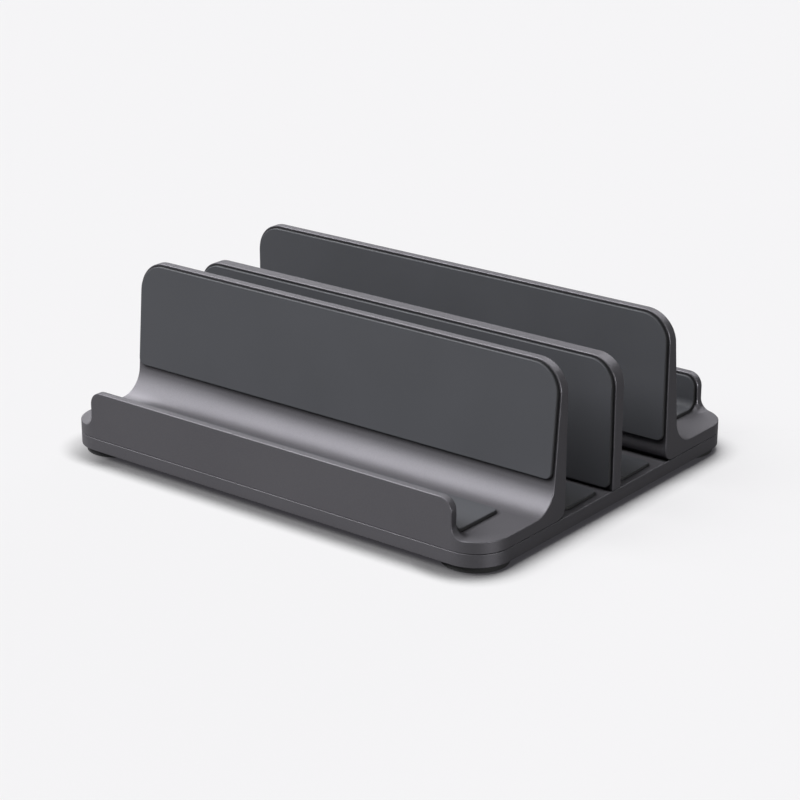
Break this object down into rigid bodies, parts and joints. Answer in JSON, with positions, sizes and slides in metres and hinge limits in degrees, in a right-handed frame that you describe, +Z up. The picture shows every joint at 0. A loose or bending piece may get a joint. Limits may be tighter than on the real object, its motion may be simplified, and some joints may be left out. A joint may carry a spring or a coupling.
{
  "type": "vertical laptop stand",
  "caption": "Low desk stand of parallel metal plates on a base, with silicone-padded slots that hold closed laptops on edge and lipped troughs front and rear for a tablet or phone.",
  "frame": {"origin": "on the desk under the middle of the stand", "axes": "+X along the plates, -Y to the front trough, +Z up"},
  "size_m": [0.19, 0.1536, 0.0625],
  "materials": {
    "anodised_aluminium": "dark grey anodised over a fine bead blast",
    "silicone": "dark grey matt silicone",
    "foot_rubber": "black matt rubber",
    "screw_steel": "plain zinc-plated steel"
  },
  "bodies": {
    "root": {"base_plate": "anodised_aluminium", "front_section": "anodised_aluminium", "middle_plate": "anodised_aluminium", "rear_section": "anodised_aluminium", "front_plate_pad": "silicone", "rear_plate_pad": "silicone", "slot_1_front_pad": "silicone", "slot_1_rear_pad": "silicone", "slot_2_front_pad": "silicone", "slot_2_rear_pad": "silicone", "slot_1_floor_pad": "silicone", "slot_2_floor_pad": "silicone", "front_trough_liner": "silicone", "rear_trough_liner": "silicone", "foot_front_left": "foot_rubber", "foot_front_right": "foot_rubber", "foot_rear_left": "foot_rubber", "foot_rear_right": "foot_rubber", "front_section_screws": "screw_steel", "middle_plate_screws": "screw_steel", "rear_section_screws": "screw_steel"}
  },
  "joints": []
}
